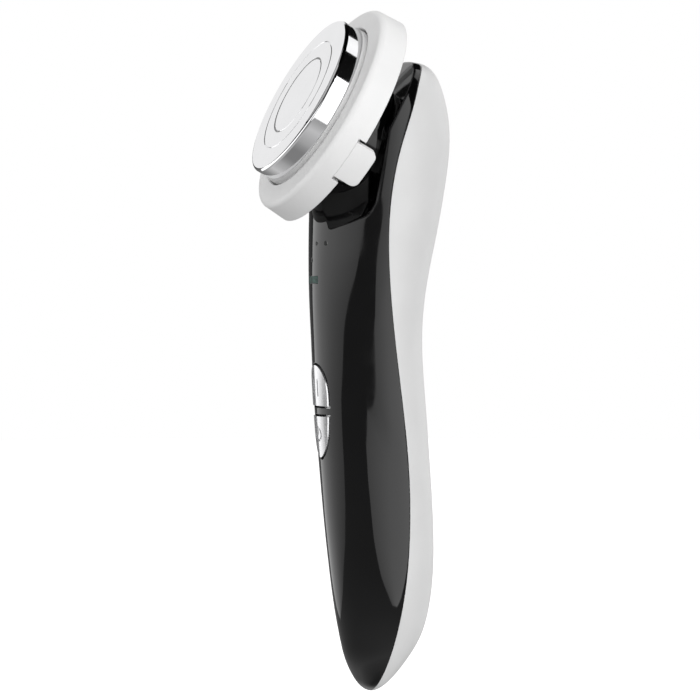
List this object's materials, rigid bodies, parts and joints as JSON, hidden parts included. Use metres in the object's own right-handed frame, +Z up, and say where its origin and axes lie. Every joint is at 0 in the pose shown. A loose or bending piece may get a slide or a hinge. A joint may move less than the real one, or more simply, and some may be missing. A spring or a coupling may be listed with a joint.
{
  "type": "facial massager",
  "caption": "Handheld skin device with a tilted round metal head, a removable pad ring with lifting tabs, a curved two-tone handle and a split almond key pair.",
  "frame": {"origin": "centre of the flat treatment face of the electrode", "axes": "+Z up along the handle towards the head, -Y to the front where the keys are, +X to the side; the handle is symmetric about X = 0"},
  "size_m": [0.0586, 0.0508, 0.1765],
  "materials": {
    "black_gloss": "high gloss",
    "white_cover": "satin gloss",
    "white_ring": "soft matte",
    "chrome_plate": "polished",
    "silver_key": "satin silver plating on plastic",
    "insulator": "moulded",
    "silicone_white": "silicone",
    "black_plastic": "moulded",
    "board_green": "solder mask",
    "chip_black": "moulded",
    "steel": "plated",
    "aluminium": "plain",
    "cell_sleeve": "shrink sleeve",
    "foam": "closed cell foam",
    "clear": "clear light guide",
    "led": "lens"
  },
  "bodies": {
    "handle": {"front_cover": "black_gloss", "rear_cover": "white_cover", "hand_contact": "chrome_plate", "tact_switches": "black_plastic", "main_board": "board_green", "board_screws": "steel", "board_chips": "chip_black", "indicator_leds": "led", "light_guide": "clear", "battery_cell": "cell_sleeve", "battery_cradle": "black_plastic", "battery_pad": "foam", "charge_board": "board_green", "usb_socket": "steel", "cover_screws": "steel", "electrode_plate": "chrome_plate", "centre_electrode": "chrome_plate", "electrode_insulator": "insulator", "heater_plate": "aluminium", "heat_sensor": "chip_black", "head_seal": "silicone_white", "head_base": "white_ring", "head_screws": "steel", "head_neck": "black_gloss", "motor": "steel", "motor_holder": "black_plastic"},
    "pad_ring": {"pad_ring": "white_ring"},
    "mode_key": {"mode_button": "silver_key", "mode_plunger": "black_plastic"},
    "power_key": {"power_button": "silver_key", "power_plunger": "black_plastic"},
    "weight": {"motor_weight": "steel"}
  },
  "joints": [
    {"name": "pad_ring_slide", "type": "slide", "parent": "handle", "child": "pad_ring", "axis": [0, -0.8854, 0.4648], "range_m": [0, 0.024]},
    {"name": "mode_press", "type": "slide", "parent": "handle", "child": "mode_key", "axis": [0, 1, 0], "range_m": [0, 0.0005], "stiffness_N_per_m": 3000},
    {"name": "power_press", "type": "slide", "parent": "handle", "child": "power_key", "axis": [0, 1, 0], "range_m": [0, 0.0005], "stiffness_N_per_m": 3000},
    {"name": "motor_spin", "type": "hinge", "parent": "handle", "child": "weight", "pos_m": [0, 0.0325, -0.013], "axis": [0, 0, 1], "continuous": true}
  ]
}
